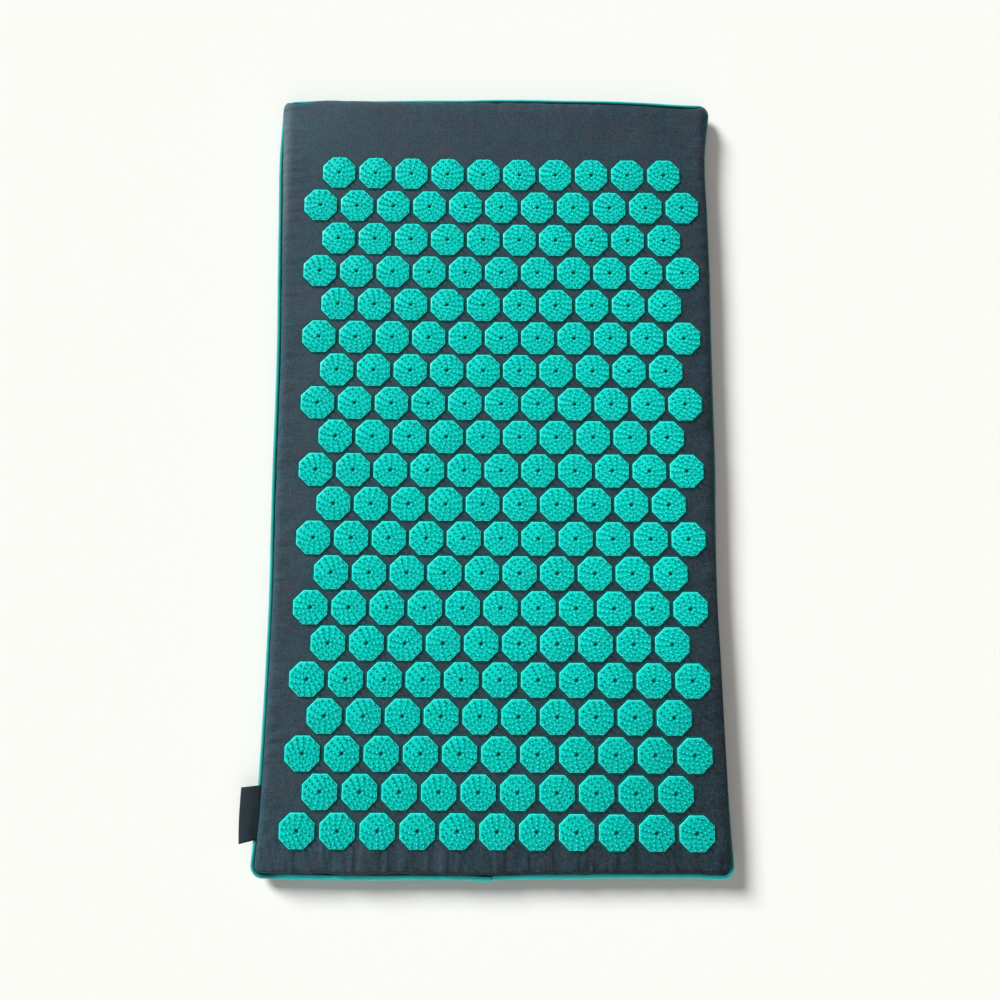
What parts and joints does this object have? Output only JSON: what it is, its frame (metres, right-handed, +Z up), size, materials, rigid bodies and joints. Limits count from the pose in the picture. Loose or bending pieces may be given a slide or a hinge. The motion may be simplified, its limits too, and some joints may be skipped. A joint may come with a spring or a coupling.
{
  "type": "acupressure mat",
  "caption": "Flat foam mat in a piped cotton cover with staggered rows of octagonal spiked plastic discs, for lying or standing on; the cover opens with a zip at one end.",
  "frame": {"origin": "centre of the flat underside, where the mat rests on the floor", "axes": "+X across the mat's width, +Y along its length towards the bare end, +Z up through the discs"},
  "size_m": [0.4396, 0.75, 0.0302],
  "materials": {
    "cover_fabric": "slate blue woven cotton, matt",
    "piping_fabric": "teal cotton binding, matt",
    "disc_plastic": "turquoise moulded plastic, glossy",
    "label_fabric": "near-black woven ribbon, bare",
    "foam": null,
    "zip_tape": "slate woven zip tape",
    "zip_coil": "dark nylon coil",
    "zip_metal": "dark plated zinc"
  },
  "bodies": {
    "mat": {"foam_core": "foam", "cover_top": "cover_fabric", "cover_base": "cover_fabric", "piping": "piping_fabric", "side_label": "label_fabric", "zip_tape_upper": "zip_tape", "zip_tape_lower": "zip_tape", "zip_coil_upper": "zip_coil", "zip_coil_lower": "zip_coil", "zip_stop_left": "zip_metal", "zip_stop_right": "zip_metal", "disc_row_01": "disc_plastic", "disc_row_02": "disc_plastic", "disc_row_03": "disc_plastic", "disc_row_04": "disc_plastic", "disc_row_05": "disc_plastic", "disc_row_06": "disc_plastic", "disc_row_07": "disc_plastic", "disc_row_08": "disc_plastic", "disc_row_09": "disc_plastic", "disc_row_10": "disc_plastic", "disc_row_11": "disc_plastic", "disc_row_12": "disc_plastic", "disc_row_13": "disc_plastic", "disc_row_14": "disc_plastic", "disc_row_15": "disc_plastic", "disc_row_16": "disc_plastic", "disc_row_17": "disc_plastic", "disc_row_18": "disc_plastic", "disc_row_19": "disc_plastic", "disc_row_20": "disc_plastic"},
    "slider": {"zip_slider": "zip_metal"},
    "pull": {"zip_pull": "zip_metal"}
  },
  "joints": [
    {"name": "zip_slide", "type": "slide", "parent": "mat", "child": "slider", "axis": [1, 0, 0], "range_m": [0, 0.2995]},
    {"name": "pull_swing", "type": "hinge", "parent": "slider", "child": "pull", "pos_m": [-0.14975, -0.3699, 0.00625], "axis": [0, 0, -1], "range_deg": [0, 180]}
  ]
}
